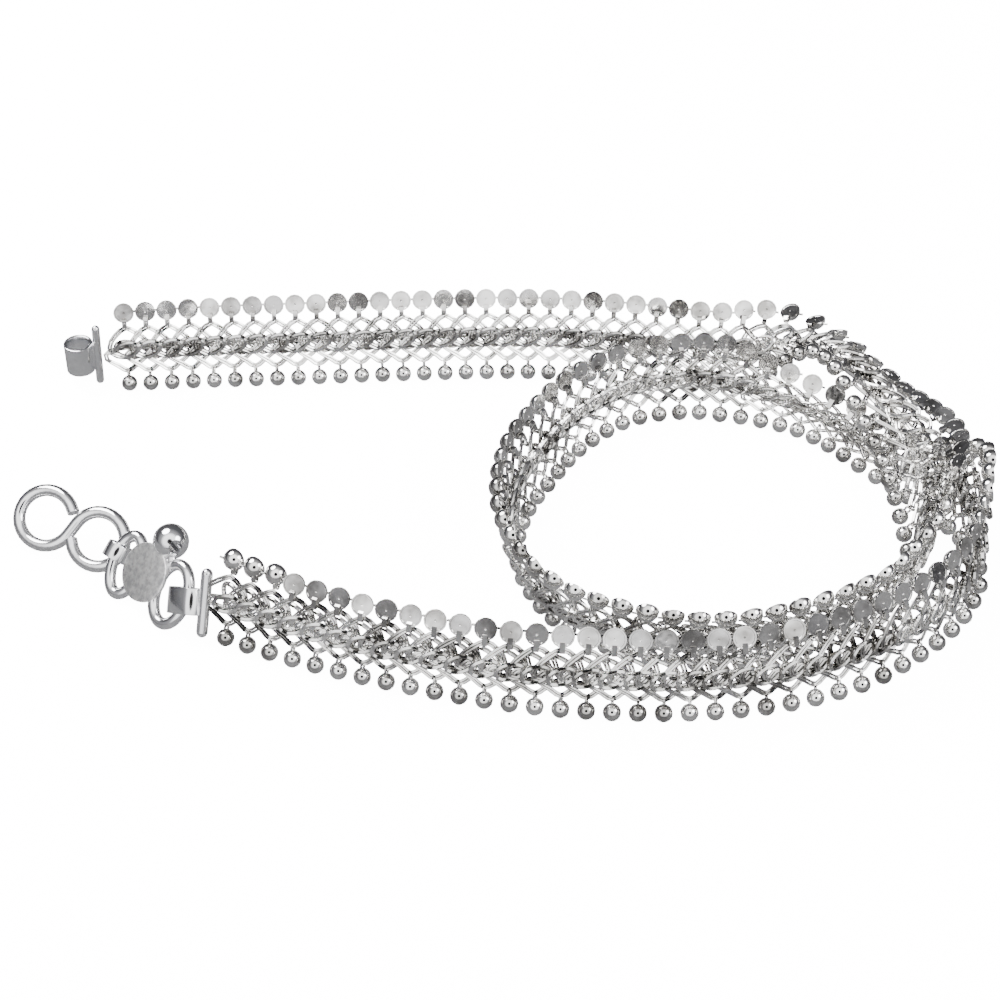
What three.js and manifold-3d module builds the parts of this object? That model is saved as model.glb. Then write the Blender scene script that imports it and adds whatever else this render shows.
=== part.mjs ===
// Waist chain: a woven silver band edged with half-balls and balls, with an eye at one end
// and a hook on a ring link at the other. It lies open, in a loop of about one and a half turns.
// Millimetres, +Z up, +X along the long way of the loop, +Y to its back.
import * as THREE from 'three';
import { mergeVertices } from 'three/addons/utils/BufferGeometryUtils.js';
import Module from 'manifold-3d';

const wasm = await Module();
wasm.setup();

// Band
const PITCH = 5.7;
const BALL = 4.3;
const HALF_BALL = 5.2;
const ROW_SPACING = 20.6;
const MESH_THICKNESS = 2.0;
const CURB_HEIGHT = 5.7;
const CURB_RELIEF = 1.7;
const GAP = 0.3;
const PITCHES_PER_STATION = 1.4;
const SIDES = 8;

// Hook and ring link
const HOOK_WIRE = 3.1;
const HOOK_BIG_LOOP = 17.0;
const HOOK_SMALL_LOOP = 16.6;
const HOOK_REACH = 15.7;
const HOOK_STRETCH = 1.1;
const RING_WIRE = 2.9;
const LEFT_RING = 10.9;
const RIGHT_RING = 12.8;
const RING_HEIGHT = 17.6;
const PLATE = 14.6;
const PLATE_THICKNESS = 1.2;
const BEAD = 8.8;
const BEAD_HOLE = 3.4;
const BEAD_STEM = 2.6;
const SOLDER = 0.4;
const STRIP = 0.9;
const BAIL_WIDTH = 6.4;
const BAIL_INSIDE = 8.0;
const COLLAR_WIDTH = 4.0;
const WIRE_CLEARANCE = 0.68;

// End pieces
const END_BAR = 2.8;
const END_BAR_LENGTH = 17.2;
const EYE_BAR = 2.2;
const EYE_OUTSIDE = 7.8;
const EYE_WALL = 0.8;
const EYE_HEIGHT = 8.6;

// Route of the band, from the eye end to the hook end. Each row gives the place of the lower
// row of balls, how far the band leans outward, and its height as a share of the full height.
const ROUTE = [
  { x: -106.9, y: 46.6, z: 2.2, lean: 11, tall: 1 },
  { x: -94.3, y: 46.9, z: 2.2, lean: 15, tall: 1 },
  { x: -77, y: 48, z: 2.2, lean: 19, tall: 1 },
  { x: -48.5, y: 49.5, z: 2.2, lean: 21, tall: 1 },
  { x: -19.5, y: 51.2, z: 2.2, lean: 21, tall: 1 },
  { x: 8, y: 51.8, z: 2.2, lean: 21, tall: 1 },
  { x: 30, y: 50, z: 2.2, lean: 20, tall: 1 },
  { x: 48, y: 46.8, z: 2.2, lean: 21, tall: 1 },
  { x: 59, y: 44.4, z: 2.6, lean: 28, tall: 1 },
  { x: 68.5, y: 42.2, z: 6.2, lean: 55, tall: 1 },
  { x: 75.5, y: 39.5, z: 14.8, lean: 90, tall: 1 },
  { x: 81, y: 35.3, z: 21.3, lean: 112, tall: 1 },
  { x: 86, y: 28.7, z: 22, lean: 117, tall: 1 },
  { x: 90, y: 19.5, z: 18.8, lean: 107, tall: 1 },
  { x: 93.5, y: 11.5, z: 15, lean: 92, tall: 1 },
  { x: 97, y: 2.5, z: 10.5, lean: 72, tall: 1 },
  { x: 99.6, y: -8, z: 6.2, lean: 48, tall: 1 },
  { x: 100.8, y: -18.5, z: 3, lean: 28, tall: 1 },
  { x: 100.5, y: -29.5, z: 2.2, lean: 16, tall: 1 },
  { x: 95, y: -41, z: 2.2, lean: 12, tall: 1 },
  { x: 85, y: -50.5, z: 2.2, lean: 14, tall: 1 },
  { x: 68, y: -58.5, z: 2.2, lean: 16, tall: 1 },
  { x: 48, y: -62, z: 2.2, lean: 18, tall: 1 },
  { x: 28, y: -57.5, z: 2.2, lean: 18, tall: 1 },
  { x: 14, y: -48.3, z: 2.2, lean: 17, tall: 1 },
  { x: 6.2, y: -34, z: 2.2, lean: 15, tall: 1 },
  { x: 4.2, y: -21, z: 2.2, lean: 14, tall: 1 },
  { x: 7, y: -7, z: 2.2, lean: 16, tall: 1 },
  { x: 13, y: 5, z: 2.2, lean: 18, tall: 1 },
  { x: 21.5, y: 19, z: 2.2, lean: 15, tall: 1 },
  { x: 34.3, y: 30.3, z: 2.2, lean: 11, tall: 1 },
  { x: 49, y: 33.8, z: 2.2, lean: 11, tall: 1 },
  { x: 60, y: 32.5, z: 2.2, lean: 12, tall: 1 },
  { x: 69, y: 30.2, z: 2.2, lean: 14, tall: 0.82 },
  { x: 77, y: 27, z: 2.2, lean: 30, tall: 0.64 },
  { x: 83, y: 22.7, z: 2.2, lean: 48, tall: 0.6 },
  { x: 88, y: 17.5, z: 2.2, lean: 64, tall: 0.6 },
  { x: 94.5, y: 9.5, z: 2.2, lean: 74, tall: 0.75 },
  { x: 102, y: 1, z: 2.2, lean: 72, tall: 0.95 },
  { x: 109, y: -8, z: 2.4, lean: 44, tall: 1 },
  { x: 115, y: -18.5, z: 2.4, lean: 10, tall: 1 },
  { x: 117.8, y: -30, z: 2.2, lean: -8, tall: 1 },
  { x: 114.2, y: -41, z: 2.2, lean: -10, tall: 1 },
  { x: 107, y: -51.5, z: 2.2, lean: -11, tall: 1 },
  { x: 97.5, y: -60.3, z: 2.2, lean: -12, tall: 1 },
  { x: 84.3, y: -69.1, z: 2.2, lean: -14, tall: 1 },
  { x: 65, y: -75.8, z: 2.2, lean: -12, tall: 1 },
  { x: 43, y: -78.5, z: 2.2, lean: -11, tall: 1 },
  { x: 20, y: -77.9, z: 2.2, lean: -12, tall: 1 },
  { x: -3, y: -74.5, z: 2.2, lean: -10, tall: 1 },
  { x: -30, y: -67.3, z: 2.2, lean: -11, tall: 1 },
  { x: -48.6, y: -60.8, z: 2.2, lean: -15, tall: 1 },
  { x: -59.7, y: -56.1, z: 2.2, lean: -16, tall: 1 },
  { x: -68.2, y: -51.9, z: 2.2, lean: -18, tall: 1 },
];

const radians = THREE.MathUtils.degToRad;

const finishes = {
  polished: { color: 0xe8e8ea, roughness: 0.14, metalness: 1 },
  woven: { color: 0xd6d7d9, roughness: 0.24, metalness: 1 },
};

function silver(finish) {
  return new THREE.MeshStandardMaterial(finishes[finish]);
}

// One row between two others, by a Catmull-Rom curve through the table.
function routeRow(at) {
  const last = ROUTE.length - 1;
  const start = Math.min(Math.floor(at), last - 1);
  const t = at - start;
  const near = [start - 1, start, start + 1, start + 2];
  const [a, b, c, d] = near.map((i) => ROUTE[Math.min(Math.max(i, 0), last)]);
  const blend = (key) => 0.5 * (2 * b[key] + (c[key] - a[key]) * t
    + (2 * a[key] - 5 * b[key] + 4 * c[key] - d[key]) * t * t
    + (3 * b[key] - a[key] - 3 * c[key] + d[key]) * t ** 3);
  const foot = new THREE.Vector3(blend('x'), blend('y'), blend('z'));
  return { foot, lean: radians(blend('lean')), tall: blend('tall') };
}

// Stations along the band at equal steps of its middle line. Each has the place of the ball
// row, the way up the band, the way out through its back and its height share.
function bandStations() {
  const finePerRow = 12;
  const fine = [];
  for (let i = 0; i <= (ROUTE.length - 1) * finePerRow; i += 1) {
    fine.push(routeRow(i / finePerRow));
  }
  fine.forEach((row, i) => {
    const ahead = fine[Math.min(i + 1, fine.length - 1)].foot;
    const behind = fine[Math.max(i - 1, 0)].foot;
    const run = new THREE.Vector3().subVectors(ahead, behind).setZ(0).normalize();
    const outward = new THREE.Vector3(-run.y, run.x, 0);
    row.up = outward.clone().multiplyScalar(Math.sin(row.lean)).setZ(Math.cos(row.lean));
    row.middle = row.foot.clone().addScaledVector(row.up, 0.5 * ROW_SPACING * row.tall);
  });
  let travelled = 0;
  fine.forEach((row, i) => {
    if (i > 0) travelled += row.middle.distanceTo(fine[i - 1].middle);
    row.along = travelled;
  });
  const count = Math.round(travelled / (PITCH * PITCHES_PER_STATION));
  const stations = [];
  for (let i = 0, j = 0; i <= count; i += 1) {
    const along = (travelled * i) / count;
    while (j < fine.length - 2 && fine[j + 1].along < along) j += 1;
    const t = (along - fine[j].along) / (fine[j + 1].along - fine[j].along);
    const foot = fine[j].foot.clone().lerp(fine[j + 1].foot, t);
    const up = fine[j].up.clone().lerp(fine[j + 1].up, t).normalize();
    stations.push({ foot, up, tall: THREE.MathUtils.lerp(fine[j].tall, fine[j + 1].tall, t) });
  }
  stations.forEach((station, i) => {
    const ahead = stations[Math.min(i + 1, count)];
    const behind = stations[Math.max(i - 1, 0)];
    const middle = (row) => row.foot.clone().addScaledVector(row.up, 0.5 * ROW_SPACING * row.tall);
    const run = middle(ahead).sub(middle(behind));
    station.back = new THREE.Vector3().crossVectors(station.up, run).normalize();
  });
  return stations;
}

// A closed solid through one closed section at each station. A section point has a place
// across the band and a place up it, counted from the ball row.
function loft(stations, section) {
  const positions = [];
  stations.forEach((station) => {
    section(station).forEach(([across, up]) => {
      const point = station.foot.clone();
      point.addScaledVector(station.back, across).addScaledVector(station.up, up);
      positions.push(...point);
    });
  });
  const sides = section(stations[0]).length;
  const index = [];
  for (let i = 0; i < stations.length - 1; i += 1) {
    for (let k = 0; k < sides; k += 1) {
      const a = i * sides + k;
      const b = i * sides + ((k + 1) % sides);
      index.push(a, b, a + sides, b, b + sides, a + sides);
    }
  }
  const lastRing = (stations.length - 1) * sides;
  for (let k = 1; k < sides - 1; k += 1) {
    index.push(0, k + 1, k);
    index.push(lastRing, lastRing + k, lastRing + k + 1);
  }
  const geometry = new THREE.BufferGeometry();
  geometry.setAttribute('position', new THREE.Float32BufferAttribute(positions, 3));
  geometry.setIndex(index);
  return geometry;
}

// The woven mesh: a flat web, with the curb chain as a ridge along the middle of its front.
function wovenSection({ tall }) {
  const bottom = 0.5 * BALL + GAP;
  const top = ROW_SPACING * tall - 0.5 * HALF_BALL - GAP;
  const middle = 0.5 * (bottom + top);
  const ridge = 0.5 * CURB_HEIGHT * tall;
  const face = 0.5 * MESH_THICKNESS;
  const edge = 0.6 * face;
  return [
    [-edge, bottom], [edge, bottom], [face, middle], [edge, top], [-edge, top],
    [-face, middle + ridge], [-face - CURB_RELIEF, middle + 0.5 * ridge],
    [-face - CURB_RELIEF, middle - 0.5 * ridge], [-face, middle - ridge],
  ];
}

// The string of balls along the lower edge, as a plain round rod.
function ballSection() {
  return Array.from({ length: SIDES }, (_, k) => {
    const angle = (2 * Math.PI * (k + 0.5)) / SIDES;
    return [0.5 * BALL * Math.sin(angle), -0.5 * BALL * Math.cos(angle)];
  });
}

// The string of half-balls along the upper edge: flat in front and round at the back.
function halfBallSection({ tall }) {
  const radius = 0.5 * HALF_BALL;
  const steps = 4;
  return Array.from({ length: steps + 1 }, (_, k) => {
    const angle = (Math.PI * k) / steps;
    return [radius * Math.sin(angle) - 0.3 * radius, ROW_SPACING * tall - radius * Math.cos(angle)];
  });
}

// A closed or open round wire along a curve, with flat ends if it is open.
function wire(curve, diameter, steps, closed = false) {
  const sides = SIDES;
  const outline = new THREE.Shape();
  for (let k = 0; k < sides; k += 1) {
    const angle = (2 * Math.PI * k) / sides;
    const point = [0.5 * diameter * Math.cos(angle), 0.5 * diameter * Math.sin(angle)];
    if (k === 0) {
      outline.moveTo(...point);
    } else {
      outline.lineTo(...point);
    }
  }
  if (!closed) {
    return new THREE.ExtrudeGeometry(outline, { steps, extrudePath: curve, bevelEnabled: false });
  }
  const profile = outline.getPoints();
  const positions = [];
  const index = [];
  for (let i = 0; i < steps; i += 1) {
    const at = curve.getPointAt(i / steps);
    const along = curve.getTangentAt(i / steps);
    const side = new THREE.Vector3().crossVectors(along, new THREE.Vector3(0, 1, 0)).normalize();
    for (let k = 0; k < sides; k += 1) {
      positions.push(...at.clone().addScaledVector(side, profile[k].x).setY(at.y + profile[k].y));
      const next = (k + 1) % sides;
      const ahead = ((i + 1) % steps) * sides;
      index.push(i * sides + k, ahead + k, i * sides + next, i * sides + next, ahead + k, ahead + next);
    }
  }
  const geometry = new THREE.BufferGeometry();
  geometry.setAttribute('position', new THREE.Float32BufferAttribute(positions, 3));
  geometry.setIndex(index);
  return geometry;
}

// A closed flat strip bent round into a flattened loop, standing along Z. The hollow is
// inside by length across X and by width across Y.
function stripLoop(inside, width, tall) {
  const straight = 0.5 * (inside - width);
  const ring = (shape, radius) => {
    shape.absarc(straight, 0, radius, -0.5 * Math.PI, 0.5 * Math.PI, false);
    shape.absarc(-straight, 0, radius, 0.5 * Math.PI, 1.5 * Math.PI, false);
  };
  const outline = new THREE.Shape();
  ring(outline, 0.5 * width + STRIP);
  const hollow = new THREE.Path();
  ring(hollow, 0.5 * width);
  outline.holes.push(hollow);
  const options = { depth: tall, bevelEnabled: false, curveSegments: 6 };
  const geometry = new THREE.ExtrudeGeometry(outline, options);
  return geometry.translate(0, 0, -0.5 * tall);
}

function upright(geometry) {
  return geometry.rotateX(0.5 * Math.PI);
}

// A piece is placed by its centre, the way that its own X runs and its tilt back from upright,
// or the way that its own Z runs.
function frameOf({ at, along = [1, 0, 0], tilt = 0, rise }) {
  const lean = new THREE.Vector3(0, Math.sin(radians(tilt)), Math.cos(radians(tilt)));
  if (rise) lean.set(...rise);
  const x = new THREE.Vector3(...along).normalize();
  const y = new THREE.Vector3().crossVectors(lean, x).normalize();
  const z = new THREE.Vector3().crossVectors(x, y);
  return new THREE.Matrix4().makeBasis(x, y, z).setPosition(...at);
}

function place(geometry, spot) {
  return geometry.applyMatrix4(frameOf(spot));
}

function pointOn(spot, x, y = 0, z = 0) {
  return new THREE.Vector3(x, y, z).applyMatrix4(frameOf(spot)).toArray();
}

function solid(geometry) {
  const bare = geometry.clone();
  bare.deleteAttribute('normal');
  bare.deleteAttribute('uv');
  const merged = mergeVertices(bare, 1e-4);
  return new wasm.Manifold(new wasm.Mesh({
    numProp: 3,
    vertProperties: new Float32Array(merged.attributes.position.array),
    triVerts: new Uint32Array(merged.index.array),
  }));
}

function fromSolid(body) {
  const mesh = body.getMesh();
  const geometry = new THREE.BufferGeometry();
  geometry.setAttribute('position', new THREE.Float32BufferAttribute(mesh.vertProperties, mesh.numProp));
  geometry.setIndex(Array.from(mesh.triVerts));
  return geometry;
}

function joined(pieces) {
  return fromSolid(pieces.map(solid).reduce((whole, piece) => whole.add(piece)));
}

class Oval extends THREE.Curve {
  constructor(width, height) {
    super();
    this.width = width;
    this.height = height;
  }

  getPoint(t, target = new THREE.Vector3()) {
    const angle = 2 * Math.PI * t;
    return target.set(0.5 * this.width * Math.cos(angle), 0, 0.5 * this.height * Math.sin(angle));
  }
}

// The bar across the band's hook end leans with the band. The strip that is soldered to it
// reaches back round the right ring, and the rest of the link hangs on from there.
const hookBar = { at: [-70.0, -49.3, 9.5], along: [1, 0, -0.13], tilt: 25 };
const bail = { along: [0.82, -0.48, 0.32], tilt: 44 };
const bailReach = 0.5 * BAIL_INSIDE + STRIP + 0.35 * END_BAR;
bail.at = new THREE.Vector3(...hookBar.at)
  .addScaledVector(new THREE.Vector3(...bail.along).normalize(), -bailReach)
  .toArray();

const RING_HALF = 0.5 * (RING_HEIGHT - RING_WIRE);
const LEFT_REACH = 0.5 * (LEFT_RING - RING_WIRE);
const RIGHT_REACH = 0.5 * (RIGHT_RING - RING_WIRE);
const rightRing = { at: bail.at, along: [0.79, -0.6, 0.12], tilt: 50 };
rightRing.at = pointOn(rightRing, -RIGHT_REACH);
const leftRing = { at: [-90.9, -32.4, 6.6], along: [0.84, -0.54, 0.05], tilt: 50 };

// The round plate lies over the two rings where they come nearest, and the bead stands on the
// right ring.
const near = new THREE.Vector3(...pointOn(leftRing, LEFT_REACH, 0, 0.5));
const far = new THREE.Vector3(...pointOn(rightRing, -RIGHT_REACH, 0, 2.5));
const plate = { along: far.clone().sub(near).toArray(), tilt: 50 };
plate.at = near.lerp(far, 0.5).toArray();
plate.at = pointOn(plate, 0, SOLDER - 0.5 * (RING_WIRE + PLATE_THICKNESS));
const bead = { at: pointOn(rightRing, -5.4, 0, 11.7), along: [0.91, 0.41, 0], tilt: 21 };
const foot = new THREE.Vector3(...pointOn(rightRing, -2.5, 0, 6.4));
const stem = { at: foot.clone().lerp(new THREE.Vector3(...bead.at), 0.3).toArray() };
stem.rise = new THREE.Vector3(...bead.at).sub(foot).toArray();

// The hook lies behind the left ring, and the strip collar holds the two wires together.
const hook = { at: [-113, -15, 6.8], along: [0.88, -0.47, -0.04], tilt: 50 };
const HOOK_GRIP = 1.0;
const RING_GRIP = 2.0;
const bigRadius = 0.5 * (HOOK_BIG_LOOP - HOOK_WIRE);
const smallRadius = 0.5 * (HOOK_SMALL_LOOP - HOOK_WIRE);
const gripAngle = Math.asin(-HOOK_GRIP / smallRadius);
const gripReach = HOOK_REACH + HOOK_STRETCH * smallRadius * Math.cos(gripAngle);
const hookWireAt = new THREE.Vector3(...pointOn(hook, gripReach, 0, -HOOK_GRIP));
const ringSide = LEFT_REACH * Math.sqrt(1 - (RING_GRIP / RING_HALF) ** 2);
const ringWireAt = new THREE.Vector3(...pointOn(leftRing, -ringSide, 0, RING_GRIP));
const wiresApart = hookWireAt.distanceTo(ringWireAt);
const COLLAR_INSIDE = wiresApart + 0.5 * (HOOK_WIRE + RING_WIRE) + 2 * WIRE_CLEARANCE;
const collar = {
  along: hookWireAt.clone().sub(ringWireAt).toArray(),
  rise: [0.49, 0.53, 0.69],
  at: ringWireAt.clone().lerp(hookWireAt, 0.5).toArray(),
};

function sHook() {
  const lean = Math.acos((HOOK_STRETCH * (bigRadius + smallRadius)) / HOOK_REACH);
  const points = [];
  const arcSteps = 12;
  for (let i = 0; i <= arcSteps; i += 1) {
    const angle = THREE.MathUtils.lerp(radians(38), radians(360) - lean, i / arcSteps);
    const x = HOOK_STRETCH * bigRadius * Math.cos(angle);
    points.push(new THREE.Vector3(x, 0, bigRadius * Math.sin(angle)));
  }
  for (let i = 0; i <= arcSteps; i += 1) {
    const angle = THREE.MathUtils.lerp(radians(180) - lean, radians(-152), i / arcSteps);
    const x = HOOK_REACH + HOOK_STRETCH * smallRadius * Math.cos(angle);
    points.push(new THREE.Vector3(x, 0, smallRadius * Math.sin(angle)));
  }
  return wire(new THREE.CatmullRomCurve3(points), HOOK_WIRE, 44);
}

function ringLink() {
  const oval = (width) => {
    const round = new Oval(width - RING_WIRE, RING_HEIGHT - RING_WIRE);
    return wire(round, RING_WIRE, 22, true);
  };
  const disc = new THREE.CylinderGeometry(0.5 * PLATE, 0.5 * PLATE, PLATE_THICKNESS, 28);
  const post = new THREE.CylinderGeometry(0.5 * BEAD_STEM, 0.5 * BEAD_STEM, 3, 10);
  const ball = solid(new THREE.SphereGeometry(0.5 * BEAD, 16, 12));
  const radius = 0.5 * BEAD_HOLE;
  const drill = solid(new THREE.CylinderGeometry(radius, radius, 1.2 * BEAD, 12));
  const holed = fromSolid(ball.subtract(drill));
  return joined([
    place(oval(LEFT_RING), leftRing),
    place(oval(RIGHT_RING), rightRing),
    place(disc, plate),
    place(upright(post), stem),
    place(holed, bead),
  ]);
}

function hookEnd() {
  const bar = new THREE.CapsuleGeometry(0.5 * END_BAR, END_BAR_LENGTH - END_BAR, 3, SIDES);
  return joined([
    place(upright(bar), hookBar),
    place(stripLoop(BAIL_INSIDE, RING_WIRE + 2 * WIRE_CLEARANCE, BAIL_WIDTH), bail),
  ]);
}

function eyeEnd() {
  const barAt = { at: [-108.6, 50.2, 9.2], tilt: 10 };
  const eyeAt = { at: [-113.6, 50.4, 8.6], tilt: 0 };
  const bar = new THREE.CapsuleGeometry(0.5 * EYE_BAR, END_BAR_LENGTH - EYE_BAR, 3, SIDES);
  const outside = new THREE.CylinderGeometry(0.5 * EYE_OUTSIDE, 0.5 * EYE_OUTSIDE, EYE_HEIGHT, 20);
  const radius = 0.5 * EYE_OUTSIDE - EYE_WALL;
  const inside = new THREE.CylinderGeometry(radius, radius, EYE_HEIGHT + 1, 20);
  const neck = new THREE.BoxGeometry(1.6, 1.6, 0.8 * EYE_HEIGHT).translate(-0.5 * EYE_BAR - 0.4, 0, 0);
  const tube = solid(place(upright(outside), eyeAt)).subtract(solid(place(upright(inside), eyeAt)));
  const rest = joined([place(upright(bar), barAt), place(neck, barAt)]);
  return fromSolid(tube.add(solid(rest)));
}

const chain = new THREE.Group();

function add(name, geometry, finish) {
  const mesh = new THREE.Mesh(geometry, silver(finish));
  mesh.name = name;
  chain.add(mesh);
}

const stations = bandStations();
add('woven_band', loft(stations, wovenSection), 'woven');
add('ball_row', loft(stations, ballSection), 'polished');
add('half_ball_row', loft(stations, halfBallSection), 'polished');
add('eye_end', eyeEnd(), 'polished');
add('hook_end', hookEnd(), 'polished');
add('ring_link', ringLink(), 'polished');
const collarStrip = stripLoop(COLLAR_INSIDE, HOOK_WIRE + 2 * WIRE_CLEARANCE, COLLAR_WIDTH);
add('strip_collar', place(collarStrip, collar), 'polished');
add('s_hook', place(sHook(), hook), 'polished');

// The origin is the middle of the chain's footprint, on the surface that it lies on.
const extent = new THREE.Box3().setFromObject(chain, true);
const centre = extent.getCenter(new THREE.Vector3());
chain.position.set(-centre.x, -centre.y, -extent.min.z);

export default chain;
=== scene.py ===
import math
import random

import bmesh
import bpy
from bpy.props import FloatProperty, IntProperty, PointerProperty, StringProperty
from mathutils import Matrix, Vector


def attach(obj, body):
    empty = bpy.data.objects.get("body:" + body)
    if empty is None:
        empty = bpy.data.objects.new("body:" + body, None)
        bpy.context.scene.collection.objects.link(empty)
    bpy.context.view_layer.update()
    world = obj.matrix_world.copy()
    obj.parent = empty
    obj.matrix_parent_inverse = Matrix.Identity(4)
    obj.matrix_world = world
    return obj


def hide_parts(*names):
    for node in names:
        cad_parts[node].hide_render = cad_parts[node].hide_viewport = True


bl_info = {
    "name": "Waist Chain",
    "version": (1, 0, 0),
    "blender": (4, 5, 0),
    "location": "3D View > Sidebar > Waist Chain",
    "description": "Silver waist chain of woven rings, edged with balls and half-balls",
    "category": "Object",
}

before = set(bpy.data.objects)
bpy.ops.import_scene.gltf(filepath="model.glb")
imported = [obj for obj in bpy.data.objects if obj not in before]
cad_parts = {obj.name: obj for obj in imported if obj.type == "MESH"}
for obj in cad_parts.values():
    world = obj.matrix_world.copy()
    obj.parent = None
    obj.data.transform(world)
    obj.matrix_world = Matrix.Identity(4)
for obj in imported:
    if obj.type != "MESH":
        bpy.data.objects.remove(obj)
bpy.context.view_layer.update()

# Route of the band from the eye end to the hook end, in metres and degrees: the place of the
# lower row of balls, how far the band leans outward, and its height as a share of the full one.
ROUTE = [
    (-0.1069, 0.0466, 0.0022, 11, 1),
    (-0.0943, 0.0469, 0.0022, 15, 1),
    (-0.077, 0.048, 0.0022, 19, 1),
    (-0.0485, 0.0495, 0.0022, 21, 1),
    (-0.0195, 0.0512, 0.0022, 21, 1),
    (0.008, 0.0518, 0.0022, 21, 1),
    (0.03, 0.05, 0.0022, 20, 1),
    (0.048, 0.0468, 0.0022, 21, 1),
    (0.059, 0.0444, 0.0026, 28, 1),
    (0.0685, 0.0422, 0.0062, 55, 1),
    (0.0755, 0.0395, 0.0148, 90, 1),
    (0.081, 0.0353, 0.0213, 112, 1),
    (0.086, 0.0287, 0.022, 117, 1),
    (0.09, 0.0195, 0.0188, 107, 1),
    (0.0935, 0.0115, 0.015, 92, 1),
    (0.097, 0.0025, 0.0105, 72, 1),
    (0.0996, -0.008, 0.0062, 48, 1),
    (0.1008, -0.0185, 0.003, 28, 1),
    (0.1005, -0.0295, 0.0022, 16, 1),
    (0.095, -0.041, 0.0022, 12, 1),
    (0.085, -0.0505, 0.0022, 14, 1),
    (0.068, -0.0585, 0.0022, 16, 1),
    (0.048, -0.062, 0.0022, 18, 1),
    (0.028, -0.0575, 0.0022, 18, 1),
    (0.014, -0.0483, 0.0022, 17, 1),
    (0.0062, -0.034, 0.0022, 15, 1),
    (0.0042, -0.021, 0.0022, 14, 1),
    (0.007, -0.007, 0.0022, 16, 1),
    (0.013, 0.005, 0.0022, 18, 1),
    (0.0215, 0.019, 0.0022, 15, 1),
    (0.0343, 0.0303, 0.0022, 11, 1),
    (0.049, 0.0338, 0.0022, 11, 1),
    (0.06, 0.0325, 0.0022, 12, 1),
    (0.069, 0.0302, 0.0022, 14, 0.82),
    (0.077, 0.027, 0.0022, 30, 0.64),
    (0.083, 0.0227, 0.0022, 48, 0.6),
    (0.088, 0.0175, 0.0022, 64, 0.6),
    (0.0945, 0.0095, 0.0022, 74, 0.75),
    (0.102, 0.001, 0.0022, 72, 0.95),
    (0.109, -0.008, 0.0024, 44, 1),
    (0.115, -0.0185, 0.0024, 10, 1),
    (0.1178, -0.03, 0.0022, -8, 1),
    (0.1142, -0.041, 0.0022, -10, 1),
    (0.107, -0.0515, 0.0022, -11, 1),
    (0.0975, -0.0603, 0.0022, -12, 1),
    (0.0843, -0.0691, 0.0022, -14, 1),
    (0.065, -0.0758, 0.0022, -12, 1),
    (0.043, -0.0785, 0.0022, -11, 1),
    (0.02, -0.0779, 0.0022, -12, 1),
    (-0.003, -0.0745, 0.0022, -10, 1),
    (-0.03, -0.0673, 0.0022, -11, 1),
    (-0.0486, -0.0608, 0.0022, -15, 1),
    (-0.0597, -0.0561, 0.0022, -16, 1),
    (-0.0682, -0.0519, 0.0022, -18, 1),
]

# The route's own origin, seen from the middle of the chain's footprint.
ROUTE_ORIGIN = Vector((-0.000504, 0.009569, 0.000013))

# Where the first ball hangs from the band's start and how near its end the last one may
# come, in metres; the part of the band, as shares of its length, whose half-balls are turned
# round; and how far the band is pulled out from where that part begins.
START = 0.0066
END = 0.0005
TURNED_FROM = 0.69
TURNED_TO = 0.978
NEAR_RUN_STRETCH = 1.029

# Millimetres in a metre.
MM = 1000

# The links' outlines in mm from where they hang, x along the band and z up it.
UPPER_LINK = [
    (0.2, 0.0),
    (-1.5, -0.8),
    (-3.0, -2.2),
    (-4.2, -3.8),
    (-4.8, -5.8),
    (-4.2, -7.6),
    (-1.5, -9.0),
    (2.0, -9.4),
    (5.0, -8.8),
    (6.6, -8.2),
    (6.9, -6.8),
    (6.2, -5.0),
    (4.9, -3.4),
    (3.3, -1.9),
    (1.6, -0.7),
]
LOWER_LINK = [
    (0.0, 0.0),
    (-1.2, 0.5),
    (-2.85, 1.9),
    (-4.3, 3.0),
    (-5.7, 4.1),
    (-6.0, 5.6),
    (-4.5, 7.0),
    (0.0, 7.6),
    (4.5, 7.0),
    (6.0, 5.6),
    (5.7, 4.1),
    (4.3, 3.0),
    (2.85, 1.9),
    (1.2, 0.5),
]

# How far up the band each row of links hangs and how far behind the band's middle a link's
# -X side and its +X side lie, in mm, and how many radii of its wire the second wire of a
# doubled link lies inside the first.
UPPER_HANG = 16.5
UPPER_SIDES = (-0.8, 0.9)
LOWER_HANG = 3.3
LOWER_SIDES = (-0.7, 0.7)
DOUBLING = 2.1

# The middle chain: how far its links' quarters lift, and the length and width of the smaller
# links behind it along their wire's middle, in metres; and their wire's radius as a share of
# the front wire's diameter.
CURB_LIFT = 0.0002
BACK_LINK = (0.0066, 0.0042)
BACK_WIRE = 0.46

# The width and height of a ball's wire loop along the wire's middle, and how far above the
# ball's middle it sits, in metres.
BALL_LOOP = (0.0013, 0.0019)
BALL_LOOP_RISE = 0.0027

# How far behind the band's middle a half-ball and its bail hang, first facing front and then
# turned round; how far under the half-ball's middle the bail hangs, in metres; and how far a
# turned one nods, in radians.
HALF_BALL_DEPTHS = (-0.00068, 0.00172)
HALF_BAIL_DEPTHS = (-0.0011, 0.0021)
HALF_BAIL_DROP = 0.0028
TURNED_NOD = 0.24

# How far the pieces vary from place to place: links, loops and bails in degrees, and balls
# and half-balls in radians; and how far a ball's loop is turned, in degrees.
LINK_PLAY = 3
BALL_LOOP_PLAY = 12
HALF_BAIL_PLAY = 8
BALL_PLAY = 0.3
HALF_BALL_PLAY = 0.1
BALL_LOOP_TURN = 78

# The inside of a half-ball's bail and its thickness, and the pin that joins one half-ball to
# the next: half its length, its radius, and its place along and behind, in metres.
HALF_BAIL_INSIDE = (0.0022, 0.001)
HALF_BAIL_THICKNESS = 0.00035
PIN_HALF_LENGTH = 0.0005
PIN_RADIUS = 0.0003
PIN_AT = (0.00285, 0.00052)

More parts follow.
